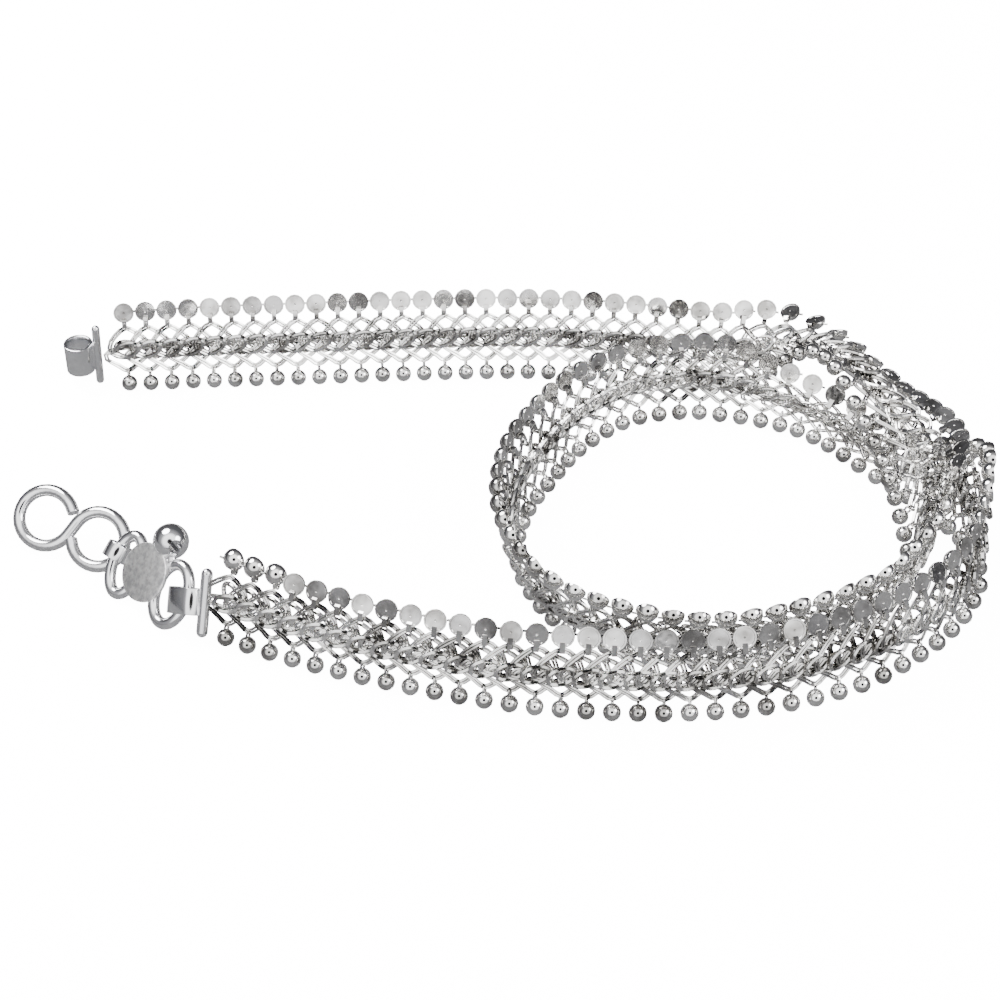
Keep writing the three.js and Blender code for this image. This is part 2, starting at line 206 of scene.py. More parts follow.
# The clasp's middles on the route's own axes, in metres: the bar at the hook end, the left
# ring and the hook's free loop.
HOOK_BAR = (-0.07, -0.0493, 0.0095)
LEFT_RING = (-0.0909, -0.0324, 0.0066)
FREE_LOOP = (-0.113, -0.015, 0.0068)

# The way that each clasp piece's X runs and its tilt back from upright in degrees, and the way
# that the collar's Z runs.
CLASP_RUNS = {
    "bar": ((1, 0, -0.13), 25),
    "bail": ((0.82, -0.48, 0.32), 44),
    "right": ((0.79, -0.6, 0.12), 50),
    "left": ((0.84, -0.54, 0.05), 50),
    "bead": ((0.91, 0.41, 0), 21),
    "hook": ((0.88, -0.47, -0.04), 50),
}
COLLAR_RISE = (0.49, 0.53, 0.69)

# The angles round its loops at which the hook's wire starts and ends, in degrees.
FREE_END = 38
HELD_END = -152

# On the rings, in metres: how high the plate meets the left one and the right one, and where
# the bead's middle and the foot of its arm are from the right ring's middle.
PLATE_LEFT = 0.0005
PLATE_RIGHT = 0.0025
BEAD_MIDDLE = (-0.0054, 0, 0.0117)
ARM_FOOT = (-0.0025, 0, 0.0064)

# The clasp's own sizes, in metres: the bail's inside length and its width, the collar's width,
# the room that both leave round a wire, how deep soldered pieces overlap, how far under its
# middle line the collar grips the hook, how far over it the left ring, and the arm's radius.
BAIL_INSIDE = 0.008
BAIL_WIDTH = 0.0064
COLLAR_WIDTH = 0.004
WIRE_ROOM = 0.00068
SOLDER = 0.0004
HOOK_GRIP = 0.001
RING_GRIP = 0.002
ARM_RADIUS = 0.0011

# The eye end, in metres: the middles of its bar and of its tube eye, the tube's wall, and
# the side and the eased edge of the square neck between them; and the bar's tilt in degrees.
EYE_BAR = (-0.1086, 0.0502, 0.0092)
EYE_BAR_TILT = 10
EYE_MIDDLE = (-0.1136, 0.0504, 0.0086)
EYE_WALL = 0.0008
NECK_SIDE = 0.0016
NECK_EDGE = 0.0004

# Each polished finish: its roughness, how strong the buff's waves are and their size in mm.
FINISHES = {
    "silver_beads": (0.07, 0.12, 2.5),
    "silver_links": (0.1, 0.25, 1.2),
    "polished_silver": (0.09, 0.2, 4.0),
}

# The tent's brightness by height, and by the angle's cosine from the way to the camera.
TENT_SKIRT = [(0.0, "#B4B4B6"), (0.3, "#EDEDED"), (1.0, "#FFFFFF")]
TENT_GAP = [
    (0.0, "#3A3A3C"),
    (0.12, "#4C4C4E"),
    (0.55, "#7C7C7E"),
    (0.76, "#FFFFFF"),
    (0.945, "#FFFFFF"),
    (0.965, "#050505"),
]

# Faces that meet at more than this angle, in radians, are shaded with a sharp edge.
SHARP_ANGLE = 0.7


class ChainSizes(bpy.types.PropertyGroup):
    """Sizes of the band's repeated pieces"""

    pitch: FloatProperty(
        name="Pitch",
        description="Distance from one ball to the next along the band",
        default=0.0057,
        unit="LENGTH",
        precision=5,
    )
    row_spacing: FloatProperty(
        name="Row spacing",
        description="Distance from the row of balls up to the row of half-balls",
        default=0.0206,
        unit="LENGTH",
        precision=5,
    )
    ball: FloatProperty(
        name="Ball",
        description="Diameter of a ball of the lower row",
        default=0.0043,
        unit="LENGTH",
        precision=5,
    )
    half_ball: FloatProperty(
        name="Half-ball",
        description="Diameter of a half-ball of the upper row",
        default=0.00548,
        unit="LENGTH",
        precision=5,
    )
    ring_wire: FloatProperty(
        name="Ring wire",
        description="Diameter of each of the two wires of a link of the woven band",
        default=0.00072,
        unit="LENGTH",
        precision=5,
    )
    curb_length: FloatProperty(
        name="Curb link length",
        description="Length of a link of the middle chain, outside",
        default=0.0094,
        unit="LENGTH",
        precision=5,
    )
    curb_width: FloatProperty(
        name="Curb link width",
        description="Width of a link of the middle chain, outside",
        default=0.0053,
        unit="LENGTH",
        precision=5,
    )
    curb_wire: FloatProperty(
        name="Curb wire",
        description="Diameter of the middle chain's wire",
        default=0.0012,
        unit="LENGTH",
        precision=5,
    )
    bail_wire: FloatProperty(
        name="Bail wire",
        description="Diameter of the wire that hangs each ball on its ring",
        default=0.00065,
        unit="LENGTH",
        precision=5,
    )
    bail_strip: FloatProperty(
        name="Bail strip",
        description="Width of the strip that hangs each half-ball on its link",
        default=0.0012,
        unit="LENGTH",
        precision=5,
    )
    seed: IntProperty(
        name="Seed",
        description="Start number of the small differences from link to link",
        default=11,
    )


class ClaspSizes(bpy.types.PropertyGroup):
    """Sizes of the hook, the ring link and the end pieces"""

    hook_wire: FloatProperty(
        name="Hook wire",
        description="Diameter of the S-hook's wire",
        default=0.0031,
        unit="LENGTH",
        precision=5,
    )
    big_loop: FloatProperty(
        name="Big loop",
        description="Outer height of the S-hook's free loop",
        default=0.017,
        unit="LENGTH",
        precision=5,
    )
    small_loop: FloatProperty(
        name="Small loop",
        description="Outer height of the S-hook's held loop",
        default=0.0166,
        unit="LENGTH",
        precision=5,
    )
    loop_reach: FloatProperty(
        name="Loop reach",
        description="Distance between the middles of the S-hook's loops",
        default=0.0157,
        unit="LENGTH",
        precision=5,
    )
    loop_stretch: FloatProperty(
        name="Loop stretch",
        description="How much longer than high the S-hook's loops are bent",
        default=1.1,
    )
    link_wire: FloatProperty(
        name="Ring link wire",
        description="Diameter of the two oval rings' wire",
        default=0.0029,
        unit="LENGTH",
        precision=5,
    )
    left_ring: FloatProperty(
        name="Left ring width",
        description="Outer width of the oval ring at the hook",
        default=0.0109,
        unit="LENGTH",
        precision=5,
    )
    right_ring: FloatProperty(
        name="Right ring width",
        description="Outer width of the oval ring at the band",
        default=0.0128,
        unit="LENGTH",
        precision=5,
    )
    link_height: FloatProperty(
        name="Oval height",
        description="Outer height of both oval rings",
        default=0.0176,
        unit="LENGTH",
        precision=5,
    )
    plate: FloatProperty(
        name="Plate",
        description="Diameter of the round plate over the oval rings",
        default=0.0146,
        unit="LENGTH",
        precision=5,
    )
    plate_thickness: FloatProperty(
        name="Plate thickness",
        description="Thickness of the round plate",
        default=0.0012,
        unit="LENGTH",
        precision=5,
    )
    bead: FloatProperty(
        name="Holed bead",
        description="Diameter of the bead on the ring link",
        default=0.0088,
        unit="LENGTH",
        precision=5,
    )
    bead_hole: FloatProperty(
        name="Bead hole",
        description="Diameter of the bead's hole",
        default=0.0034,
        unit="LENGTH",
        precision=5,
    )
    strip: FloatProperty(
        name="Strip",
        description="Thickness of the flat strip of the collar and the bail",
        default=0.0009,
        unit="LENGTH",
        precision=5,
    )
    end_bar: FloatProperty(
        name="End bar",
        description="Diameter of the bar at the hook end",
        default=0.0028,
        unit="LENGTH",
        precision=5,
    )
    end_bar_length: FloatProperty(
        name="End bar length",
        description="Length of both end bars",
        default=0.0172,
        unit="LENGTH",
        precision=5,
    )
    eye_bar: FloatProperty(
        name="Eye bar",
        description="Diameter of the bar at the eye end",
        default=0.0022,
        unit="LENGTH",
        precision=5,
    )
    eye_outside: FloatProperty(
        name="Eye",
        description="Outer diameter of the tube eye",
        default=0.0078,
        unit="LENGTH",
        precision=5,
    )
    eye_height: FloatProperty(
        name="Eye height",
        description="Height of the tube eye",
        default=0.0086,
        unit="LENGTH",
        precision=5,
    )


class ChainColours(bpy.types.PropertyGroup):
    """Colours of the metal and of the studio, as sRGB hex values"""

    polished: StringProperty(
        name="Polished silver",
        description="Colour that polished silver reflects",
        default="#F4F3F1",
    )
    tarnish: StringProperty(
        name="Tarnish",
        description="Faint tarnish that is left between the links",
        default="#A3A19E",
    )
    satin: StringProperty(
        name="Satin silver",
        description="Colour that the brushed plate reflects",
        default="#C4C4C5",
    )
    floor: StringProperty(
        name="Floor",
        description="White table that the chain lies on",
        default="#FDFDFD",
    )
    # Painted shade: the grey that the table shows only in the metal's reflections, in place of its lit
    # white.
    painted_floor_shade: StringProperty(
        name="Floor in the metal",
        description="Grey that the table shows in the silver, as beyond a white tent's pool of light",
        default="#8E8E90",
    )


class StudioSizes(bpy.types.PropertyGroup):
    """The camera and the studio"""

    elevation: FloatProperty(
        name="Camera elevation",
        description="Angle that the camera looks down at",
        default=math.radians(40),
        subtype="ANGLE",
    )
    distance: FloatProperty(
        name="Camera distance",
        description="Distance from the camera to the middle of its view",
        default=0.5894,
        unit="LENGTH",
    )
    lens: FloatProperty(
        name="Lens",
        description="Focal length on a sensor 36 mm wide",
        default=82.9,
    )
    table_glow: FloatProperty(
        name="Table glow",
        description="How brightly the light table shines",
        default=14.0,
    )
    # Brightness of the table's painted shade as the metal reflects it.
    glow_in_metal: FloatProperty(
        name="Table glow in the metal",
        description="How brightly the silver shows the table",
        default=1.15,
    )
    tent_glow: FloatProperty(
        name="Tent glow",
        description="How brightly the white tent shines",
        default=2.9,
    )


def linear(hex_colour):
    """A linear colour with alpha from an sRGB hex value."""
    parts = [int(hex_colour[i : i + 2], 16) / 255 for i in (1, 3, 5)]
    turned = [c / 12.92 if c <= 0.04045 else ((c + 0.055) / 1.055) ** 2.4 for c in parts]
    return (*turned, 1.0)


def add_node(tree, kind, settings=None, links=None):
    """A node with its settings, and links from other nodes' outputs to its inputs."""
    made = tree.nodes.new(kind)
    for name, value in (settings or {}).items():
        if name in made.inputs:
            made.inputs[name].default_value = value
        else:
            setattr(made, name, value)
    for name, source in (links or {}).items():
        tree.links.new(source, made.inputs[name])
    return made


def surface(name):
    """A new material, its node tree, its shader and the object's own coordinates."""
    material = bpy.data.materials.new(name)
    material.use_nodes = True
    tree = material.node_tree
    place = add_node(tree, "ShaderNodeTexCoord").outputs["Object"]
    return material, tree, tree.nodes["Principled BSDF"], place


def polished_silver(name, roughness, wave, wave_mm):
    """Sterling silver, tumbled and buffed: a bright mirror with soft waves left by the buff,
    a fine buffing haze about 0.4 mm across and faint tarnish in broad clouds of 9 mm."""
    colours = bpy.context.scene.chain_colours
    material, tree, shader, place = surface(name)
    shader.inputs["Metallic"].default_value = 1.0
    clouds = add_node(
        tree,
        "ShaderNodeTexNoise",
        {"Scale": MM / 9.0, "Detail": 3.0, "Roughness": 0.6},
        {"Vector": place},
    )
    tint = add_node(tree, "ShaderNodeValToRGB", {}, {"Fac": clouds.outputs["Fac"]})
    tint.color_ramp.elements[0].position = 0.36
    tint.color_ramp.elements[0].color = linear(colours.tarnish)
    tint.color_ramp.elements[1].position = 0.58
    tint.color_ramp.elements[1].color = linear(colours.polished)
    tree.links.new(tint.outputs["Color"], shader.inputs["Base Color"])
    haze = add_node(
        tree, "ShaderNodeTexNoise", {"Scale": MM / 0.4, "Detail": 2.0}, {"Vector": place}
    )
    gloss = add_node(
        tree,
        "ShaderNodeMapRange",
        {"To Min": 0.7 * roughness, "To Max": 1.5 * roughness},
        {"Value": haze.outputs["Fac"]},
    )
    tree.links.new(gloss.outputs["Result"], shader.inputs["Roughness"])
    waves = add_node(
        tree, "ShaderNodeTexNoise", {"Scale": MM / wave_mm, "Detail": 1.0}, {"Vector": place}
    )
    bump = add_node(
        tree,
        "ShaderNodeBump",
        {"Strength": wave, "Distance": 0.0002},
        {"Height": waves.outputs["Fac"]},
    )
    tree.links.new(bump.outputs["Normal"], shader.inputs["Normal"])
    return material


def satin_silver(name):
    """Silver sheet rubbed one way with fine paper: soft, mottled grey in clouds of 1.6 mm,
    with short scratches about 0.15 mm wide that run across the plate."""
    colours = bpy.context.scene.chain_colours
    material, tree, shader, place = surface(name)
    shader.inputs["Metallic"].default_value = 1.0
    mottle = add_node(
        tree,
        "ShaderNodeTexNoise",
        {"Scale": MM / 1.6, "Detail": 4.0, "Roughness": 0.65},
        {"Vector": place},
    )
    tint = add_node(tree, "ShaderNodeValToRGB", {}, {"Fac": mottle.outputs["Fac"]})
    tint.color_ramp.elements[0].position = 0.38
    tint.color_ramp.elements[0].color = linear(colours.satin)
    tint.color_ramp.elements[1].position = 0.62
    tint.color_ramp.elements[1].color = linear(colours.polished)
    tree.links.new(tint.outputs["Color"], shader.inputs["Base Color"])
    across = add_node(
        tree, "ShaderNodeMapping", {"Scale": (MM / 1.2, MM / 1.2, MM / 0.15)}, {"Vector": place}
    )
    grain = add_node(
        tree,
        "ShaderNodeTexNoise",
        {"Scale": 1.0, "Detail": 3.0},
        {"Vector": across.outputs["Vector"]},
    )
    gloss = add_node(
        tree,
        "ShaderNodeMapRange",
        {"To Min": 0.3, "To Max": 0.48},
        {"Value": grain.outputs["Fac"]},
    )
    tree.links.new(gloss.outputs["Result"], shader.inputs["Roughness"])
    bump = add_node(
        tree,
        "ShaderNodeBump",
        {"Strength": 0.25, "Distance": 0.00005},
        {"Height": grain.outputs["Fac"]},
    )
    tree.links.new(bump.outputs["Normal"], shader.inputs["Normal"])
    return material


def table_white(name):
    """A matt white light table, with faint unevenness in broad patches of 60 mm. In polished
    metal it shows painted shade: a flat grey, as of the table in shade beyond the light."""
    colours = bpy.context.scene.chain_colours
    studio = bpy.context.scene.studio_sizes
    material, tree, shader, place = surface(name)
    shader.inputs["Base Color"].default_value = linear(colours.floor)
    shader.inputs["Emission Color"].default_value = linear(colours.floor)
    shader.inputs["Emission Strength"].default_value = studio.table_glow
    patches = add_node(
        tree, "ShaderNodeTexNoise", {"Scale": MM / 60.0, "Detail": 2.0}, {"Vector": place}
    )
    gloss = add_node(
        tree,
        "ShaderNodeMapRange",
        {"To Min": 0.75, "To Max": 0.85},
        {"Value": patches.outputs["Fac"]},
    )
    tree.links.new(gloss.outputs["Result"], shader.inputs["Roughness"])
    # Painted shade: rays reflected from the metal see the table as this flat grey instead of its lit
    # white.
    painted_shade_in_metal = add_node(
        tree,
        "ShaderNodeEmission",
        {"Color": linear(colours.painted_floor_shade), "Strength": studio.glow_in_metal},
    )
    ray = add_node(tree, "ShaderNodeLightPath")
    mixed = add_node(tree, "ShaderNodeMixShader", {}, {"Fac": ray.outputs["Is Glossy Ray"]})
    tree.links.new(shader.outputs["BSDF"], mixed.inputs[1])
    tree.links.new(painted_shade_in_metal.outputs["Emission"], mixed.inputs[2])
    output = tree.nodes["Material Output"]
    tree.links.new(mixed.outputs["Shader"], output.inputs["Surface"])
    return material


def metal(kind):
    """One of the chain's finishes, made once."""
    if kind in bpy.data.materials:
        return bpy.data.materials[kind]
    if kind == "satin_silver":
        return satin_silver(kind)
    return polished_silver(kind, *FINISHES[kind])


def route_row(at):
    """One row between two others, on a smooth curve through all the rows of the route."""
    last = len(ROUTE) - 1
    start = min(int(at), last - 1)
    t = at - start
    near = [ROUTE[min(max(i, 0), last)] for i in range(start - 1, start + 3)]
    blended = []
    for a, b, c, d in zip(*near):
        even = 2 * b + (c - a) * t
        bend = (2 * a - 5 * b + 4 * c - d) * t * t
        twist = (3 * b - a - 3 * c + d) * t**3
        blended.append(0.5 * (even + bend + twist))
    return blended


def band_rows():
    """Fine rows along the band: foot, up, height share and the distance travelled."""
    spacing = bpy.context.scene.chain_sizes.row_spacing
    per_row = 12
    fine = [route_row(i / per_row) for i in range((len(ROUTE) - 1) * per_row + 1)]
    rows = []
    travelled = 0.0
    for i, (x, y, z, lean, tall) in enumerate(fine):
        ahead = fine[min(i + 1, len(fine) - 1)]
        behind = fine[max(i - 1, 0)]
        run = Vector((ahead[0] - behind[0], ahead[1] - behind[1], 0)).normalized()
        outward = Vector((-run.y, run.x, 0))
        lean = math.radians(lean)
        up = outward * math.sin(lean) + Vector((0, 0, math.cos(lean)))
        foot = Vector((x, y, z)) + ROUTE_ORIGIN
        middle = foot + up * 0.5 * spacing * tall
        if rows:
            travelled += (middle - rows[-1]["middle"]).length
        rows.append({"foot": foot, "up": up, "tall": tall, "middle": middle, "along": travelled})
    return rows


def band_places():
    """A place for each pitch of the band, with X along it, Y out through its back and Z up
    it from the ball row; how tall the band is there; and its share of the way along."""
    rows = band_rows()
    total = rows[-1]["along"]
    pitch = bpy.context.scene.chain_sizes.pitch

    def between(along):
        j = next(k for k in range(len(rows) - 1) if rows[k + 1]["along"] >= along)
        low, high = rows[j], rows[j + 1]
        t = (along - low["along"]) / (high["along"] - low["along"])
        return {
            "foot": low["foot"].lerp(high["foot"], t),
            "up": low["up"].lerp(high["up"], t).normalized(),
            "tall": low["tall"] + (high["tall"] - low["tall"]) * t,
            "middle": low["middle"].lerp(high["middle"], t),
        }

    # The band's way at a place runs from 2 mm before it to 2 mm past it, within its ends.
    near = 0.002
    least = 1e-6
    places = []
    along = START
    while along < total - END:
        here = between(along)
        ahead = between(min(along + near, total - least))
        behind = between(max(along - near, least))
        back = here["up"].cross(ahead["middle"] - behind["middle"]).normalized()
        run = back.cross(here["up"])
        turn = Matrix((run, back, here["up"])).transposed().to_4x4()
        share = along / total
        places.append((Matrix.Translation(here["foot"]) @ turn, here["tall"], share))
        along += pitch * (NEAR_RUN_STRETCH if share > TURNED_FROM else 1)
    return places


def piece_lay(at, along=(1, 0, 0), tilt=0.0, rise=None):
    """A clasp piece's place: its middle on the route's own axes, the way that its X runs and
    its tilt back from upright in degrees, or the way that its Z runs."""
    lean = Vector((0, math.sin(math.radians(tilt)), math.cos(math.radians(tilt))))
    if rise:
        lean = Vector(rise)
    x = Vector(along).normalized()
    y = lean.cross(x).normalized()
    z = x.cross(y)
    turn = Matrix((x, y, z)).transposed().to_4x4()
    return Matrix.Translation(Vector(at)) @ turn


def tube(points, radius, rings, closed=False):
    """A round wire along points, as a mesh."""
    line = bpy.data.curves.new("wire", "CURVE")
    line.dimensions = "3D"
    line.bevel_depth = radius
    line.bevel_resolution = rings
    line.use_fill_caps = not closed
    spline = line.splines.new("POLY")
    spline.points.add(len(points) - 1)
    for point, place in zip(spline.points, points):
        point.co = (*place, 1.0)
    spline.use_cyclic_u = closed
    holder = bpy.data.objects.new("wire", line)
    mesh = bpy.data.meshes.new_from_object(holder)
    bpy.data.objects.remove(holder)
    bpy.data.curves.remove(line)
    return mesh


def oval(width, height, steps, lift=0.0):
    """Points round an oval in the XZ plane. Its quarters lift to either side in turn."""
    points = []
    for i in range(steps):
        angle = 2 * math.pi * i / steps
        side = lift * math.sin(2 * angle)
        points.append((0.5 * width * math.cos(angle), side, 0.5 * height * math.sin(angle)))
    return points


def doubled(outline, sides, wire):
    """A link bent from a doubled wire round an outline in mm that starts where it hangs. It
    lies askew, its -X side to the front and its +X side to the back."""
    front, back = sides
    xs = [x for x, z in outline]
    centre = Vector((sum(xs) / len(xs), 0, sum(z for x, z in outline) / len(outline)))
    wires = []
    for inset in (0.0, DOUBLING):
        points = []
        for x, z in outline:
            t = (x - min(xs)) / (max(xs) - min(xs))
            point = Vector((x, front + (back - front) * t, z))
            inward = Vector((centre.x - x, 0, centre.z - z)).normalized()
            points.append((point + inward * inset * 0.5 * wire * MM) / MM)
        wires.append(tube(points, 0.5 * wire, 1, True))
    return wires


def finished(shape):
    """The bmesh's mesh, with its doubles merged and its faces turned out."""
    bmesh.ops.remove_doubles(shape, verts=shape.verts, dist=1e-7)
    bmesh.ops.recalc_face_normals(shape, faces=shape.faces)
    mesh = bpy.data.meshes.new("shape")
    shape.to_mesh(mesh)
    shape.free()
    return mesh


def slice_off(shape, point, normal):
    """Cut away what lies on the normal's side of a plane."""
    everything = shape.verts[:] + shape.edges[:] + shape.faces[:]
    bmesh.ops.bisect_plane(
        shape, geom=everything, plane_co=point, plane_no=normal, clear_outer=True
    )


def soften(shape, edges, offset, segments):
    """Round edges off."""
    bmesh.ops.bevel(
        shape,
        geom=edges,
        offset=offset,
        segments=segments,
        profile=0.5,
        affect="EDGES",
        material=-1,
    )


def face_along_y(shape):
    """Turn a shape's Z to -Y."""
    turn = Matrix.Rotation(0.5 * math.pi, 3, "X")
    bmesh.ops.rotate(shape, verts=shape.verts, matrix=turn)


def strewn(parts):
    """One mesh from meshes that are each repeated at several places."""
    whole = bmesh.new()
    for mesh, places in parts:
        for place in places:
            copy = mesh.copy()
            copy.transform(place)
            whole.from_mesh(copy)
            bpy.data.meshes.remove(copy)
    result = bpy.data.meshes.new("strewn")
    whole.to_mesh(result)
    whole.free()
    return result


def piece(name, mesh, kind, nodes):
    """Make a finished object that rides on the chain and stands for CAD nodes."""
    mesh.name = name
    made = bpy.data.objects.new(name, mesh)
    bpy.context.scene.collection.objects.link(made)
    mesh.materials.clear()
    mesh.materials.append(metal(kind))
    mesh.shade_smooth()
    mesh.set_sharp_from_angle(angle=SHARP_ANGLE)
    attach(made, "root")
    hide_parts(*nodes)


def ball_shape(diameter):
    """A ball fine enough for its size in the band."""
    shape = bmesh.new()
    bmesh.ops.create_uvsphere(shape, u_segments=14, v_segments=8, radius=0.5 * diameter)
    return finished(shape)


def half_ball_shape(diameter):
    """A half-ball with its flat face to -Y, a thin raised rim round it and a dimple in it."""
    radius = 0.5 * diameter
    shape = bmesh.new()
    bmesh.ops.create_uvsphere(shape, u_segments=16, v_segments=8, radius=radius)
    face_along_y(shape)
    slice_off(shape, (0, -0.0001, 0), (0, -1, 0))
    rim = [edge for edge in shape.edges if edge.is_boundary]
    dish = bmesh.ops.contextual_create(shape, geom=rim)["faces"]
    # Each step inward and its depth, in radii: the rim, its inner side, the flat, the dimple.
    steps = [(0.14, 0.0), (0.03, -0.05), (0.71, 0.0), (0.06, -0.06)]
    for thickness, depth in steps:
        bmesh.ops.inset_region(
            shape, faces=dish, thickness=thickness * radius, depth=depth * radius, use_even_offset=True
        )
    return finished(shape)


class CHAIN_OT_stage(bpy.types.Operator):
    """Lay the white table and place the camera, the lights and the pale surroundings"""

    bl_idname = "chain.stage"
    bl_label = "Studio and Camera"

    def execute(self, context):
        studio = context.scene.studio_sizes
        ground = bmesh.new()
        bmesh.ops.create_grid(ground, x_segments=1, y_segments=1, size=3.0)
        mesh = bpy.data.meshes.new("table")
        ground.to_mesh(mesh)
        ground.free()
        mesh.materials.append(table_white("white_table_laminate"))
        table = bpy.data.objects.new("table", mesh)
        context.scene.collection.objects.link(table)

        away = Vector((0, -math.cos(studio.elevation), math.sin(studio.elevation)))
        lens = bpy.data.cameras.new("camera")
        lens.lens = studio.lens
        lens.sensor_width = 36.0
        camera = bpy.data.objects.new("camera", lens)
        camera.location = ROUTE_ORIGIN + away * studio.distance
        camera.rotation_euler = (-away).to_track_quat("-Z", "Y").to_euler()
        context.scene.collection.objects.link(camera)
        context.scene.camera = camera

        # Each lamp's name, place, diameter in metres and power in watts.
        lights = [
            ("window", (-0.5, 0.35, 0.9), 0.7, 18.0),
            ("fill", (0.8, -0.3, 0.7), 0.6, 8.0),
        ]
        for name, place, size, power in lights:
            lamp = bpy.data.lights.new(name, "AREA")
            lamp.shape = "DISK"
            lamp.size = size
            lamp.energy = power
            light = bpy.data.objects.new(name, lamp)
            light.location = place
            light.rotation_euler = (-Vector(place)).to_track_quat("-Z", "Y").to_euler()
            context.scene.collection.objects.link(light)

        # A white tent, darker round its skirt, with a dark gap that the camera looks through.
        world = bpy.data.worlds.new("tent")
        world.use_nodes = True
        tree = world.node_tree
        tree.nodes.clear()
        way = add_node(tree, "ShaderNodeTexCoord").outputs["Generated"]
        height = add_node(tree, "ShaderNodeSeparateXYZ", {}, {"Vector": way})
        skirt = add_node(tree, "ShaderNodeValToRGB", {}, {"Fac": height.outputs["Z"]})
        toward = add_node(tree, "ShaderNodeVectorMath", {"operation": "DOT_PRODUCT"})
        tree.links.new(way, toward.inputs[0])
        toward.inputs[1].default_value = away
        gap = add_node(tree, "ShaderNodeValToRGB", {}, {"Fac": toward.outputs["Value"]})
        for ramp, shades in ((skirt.color_ramp, TENT_SKIRT), (gap.color_ramp, TENT_GAP)):
            ramp.elements.remove(ramp.elements[1])
            ramp.elements[0].position = shades[0][0]
            ramp.elements[0].color = linear(shades[0][1])
            for position, shade in shades[1:]:
                ramp.elements.new(position).color = linear(shade)
        tent = add_node(tree, "ShaderNodeMix", {"data_type": "RGBA", "blend_type": "MULTIPLY"})
        tent.inputs[0].default_value = 1.0
        tree.links.new(skirt.outputs["Color"], tent.inputs[6])
        tree.links.new(gap.outputs["Color"], tent.inputs[7])
        strength = {"Strength": studio.tent_glow}
        glow = add_node(tree, "ShaderNodeBackground", strength, {"Color": tent.outputs[2]})
        add_node(tree, "ShaderNodeOutputWorld", {}, {"Surface": glow.outputs["Background"]})
        context.scene.world = world
        return {"FINISHED"}


class CHAIN_OT_woven_rings(bpy.types.Operator):
    """Make the two rows of doubled links that overlap along the band"""

    bl_idname = "chain.woven_rings"
    bl_label = "Woven Rings"

    def execute(self, context):
        sizes = context.scene.chain_sizes
        dice = random.Random(sizes.seed)
        upper = doubled(UPPER_LINK, UPPER_SIDES, sizes.ring_wire)
        lower = doubled(LOWER_LINK, LOWER_SIDES, sizes.ring_wire)
        upper_places = []
        lower_places = []
        for lay, tall, _ in band_places():
            squash = Matrix.Diagonal((1, 1, tall, 1))
            for up, places in ((UPPER_HANG, upper_places), (LOWER_HANG, lower_places)):
                shingle = Matrix.Rotation(math.radians(dice.uniform(-LINK_PLAY, LINK_PLAY)), 4, "Z")
                tip = Matrix.Rotation(math.radians(dice.uniform(-LINK_PLAY, LINK_PLAY)), 4, "Y")
                shift = Matrix.Translation((0.0, 0.0, up / MM * tall))
                places.append(lay @ shift @ squash @ shingle @ tip)
        parts = [(wire, upper_places) for wire in upper]
        mesh = strewn(parts + [(wire, lower_places) for wire in lower])
        piece("woven_rings", mesh, "silver_links", ["woven_band"])
        return {"FINISHED"}


class CHAIN_OT_curb_chain(bpy.types.Operator):
    """Make the heavy middle chain, whose slanted links go through the rings of both rows"""

    bl_idname = "chain.curb_chain"
    bl_label = "Middle Chain"

    def execute(self, context):
        sizes = context.scene.chain_sizes
        dice = random.Random(sizes.seed + 1)
        length = sizes.curb_length - sizes.curb_wire
        width = sizes.curb_width - sizes.curb_wire
        link = tube(oval(length, width, 20, CURB_LIFT), 0.5 * sizes.curb_wire, 2, True)
        behind = tube(oval(*BACK_LINK, 16), BACK_WIRE * sizes.curb_wire, 1, True)
        front_places = []
        back_places = []
        # Where each row of links goes, how far back and up in metres, its slant, how much that
        # varies and its turn in degrees, and its roll in radians.
        rows = [
            (front_places, -0.00135, 0.01015, -29, 2, -20, 0.15),
            (back_places, 0.0011, 0.0095, 19, 3, 10, -0.1),
        ]
        for lay, tall, _ in band_places():
            squash = Matrix.Diagonal((1, 1, tall, 1))
            for places, back, up, slant, varied, turn, roll in rows:
                middle = Matrix.Translation((0, back, up * tall))
                slant += dice.uniform(-varied, varied)
                slanted = Matrix.Rotation(math.radians(slant), 4, "Y")
                turned = Matrix.Rotation(math.radians(turn), 4, "Z")
                rolled = turned @ Matrix.Rotation(roll, 4, "X")
                places.append(lay @ middle @ squash @ slanted @ rolled)
        mesh = strewn([(link, front_places), (behind, back_places)])
        piece("middle_chain", mesh, "silver_links", ["woven_band"])
        return {"FINISHED"}


class CHAIN_OT_balls(bpy.types.Operator):
    """Make the row of small balls, each hung on the rings by its wire loop"""

    bl_idname = "chain.balls"
    bl_label = "Balls"

    def execute(self, context):
        sizes = context.scene.chain_sizes
        dice = random.Random(sizes.seed + 2)
        ball = ball_shape(sizes.ball)
        loop = tube(oval(*BALL_LOOP, 10), 0.5 * sizes.bail_wire, 1, True)
        ball_places = []
        loop_places = []
        rise = Matrix.Translation((0, 0, BALL_LOOP_RISE))
        for lay, _, _ in band_places():
            spin = Matrix.Rotation(dice.uniform(-BALL_PLAY, BALL_PLAY), 4, "X")
            ball_places.append(lay @ spin)
            across = BALL_LOOP_TURN + dice.uniform(-BALL_LOOP_PLAY, BALL_LOOP_PLAY)
            turn = Matrix.Rotation(math.radians(across), 4, "Z")
            loop_places.append(lay @ rise @ turn)
        mesh = strewn([(ball, ball_places), (loop, loop_places)])
        piece("balls", mesh, "silver_beads", ["ball_row"])
        return {"FINISHED"}


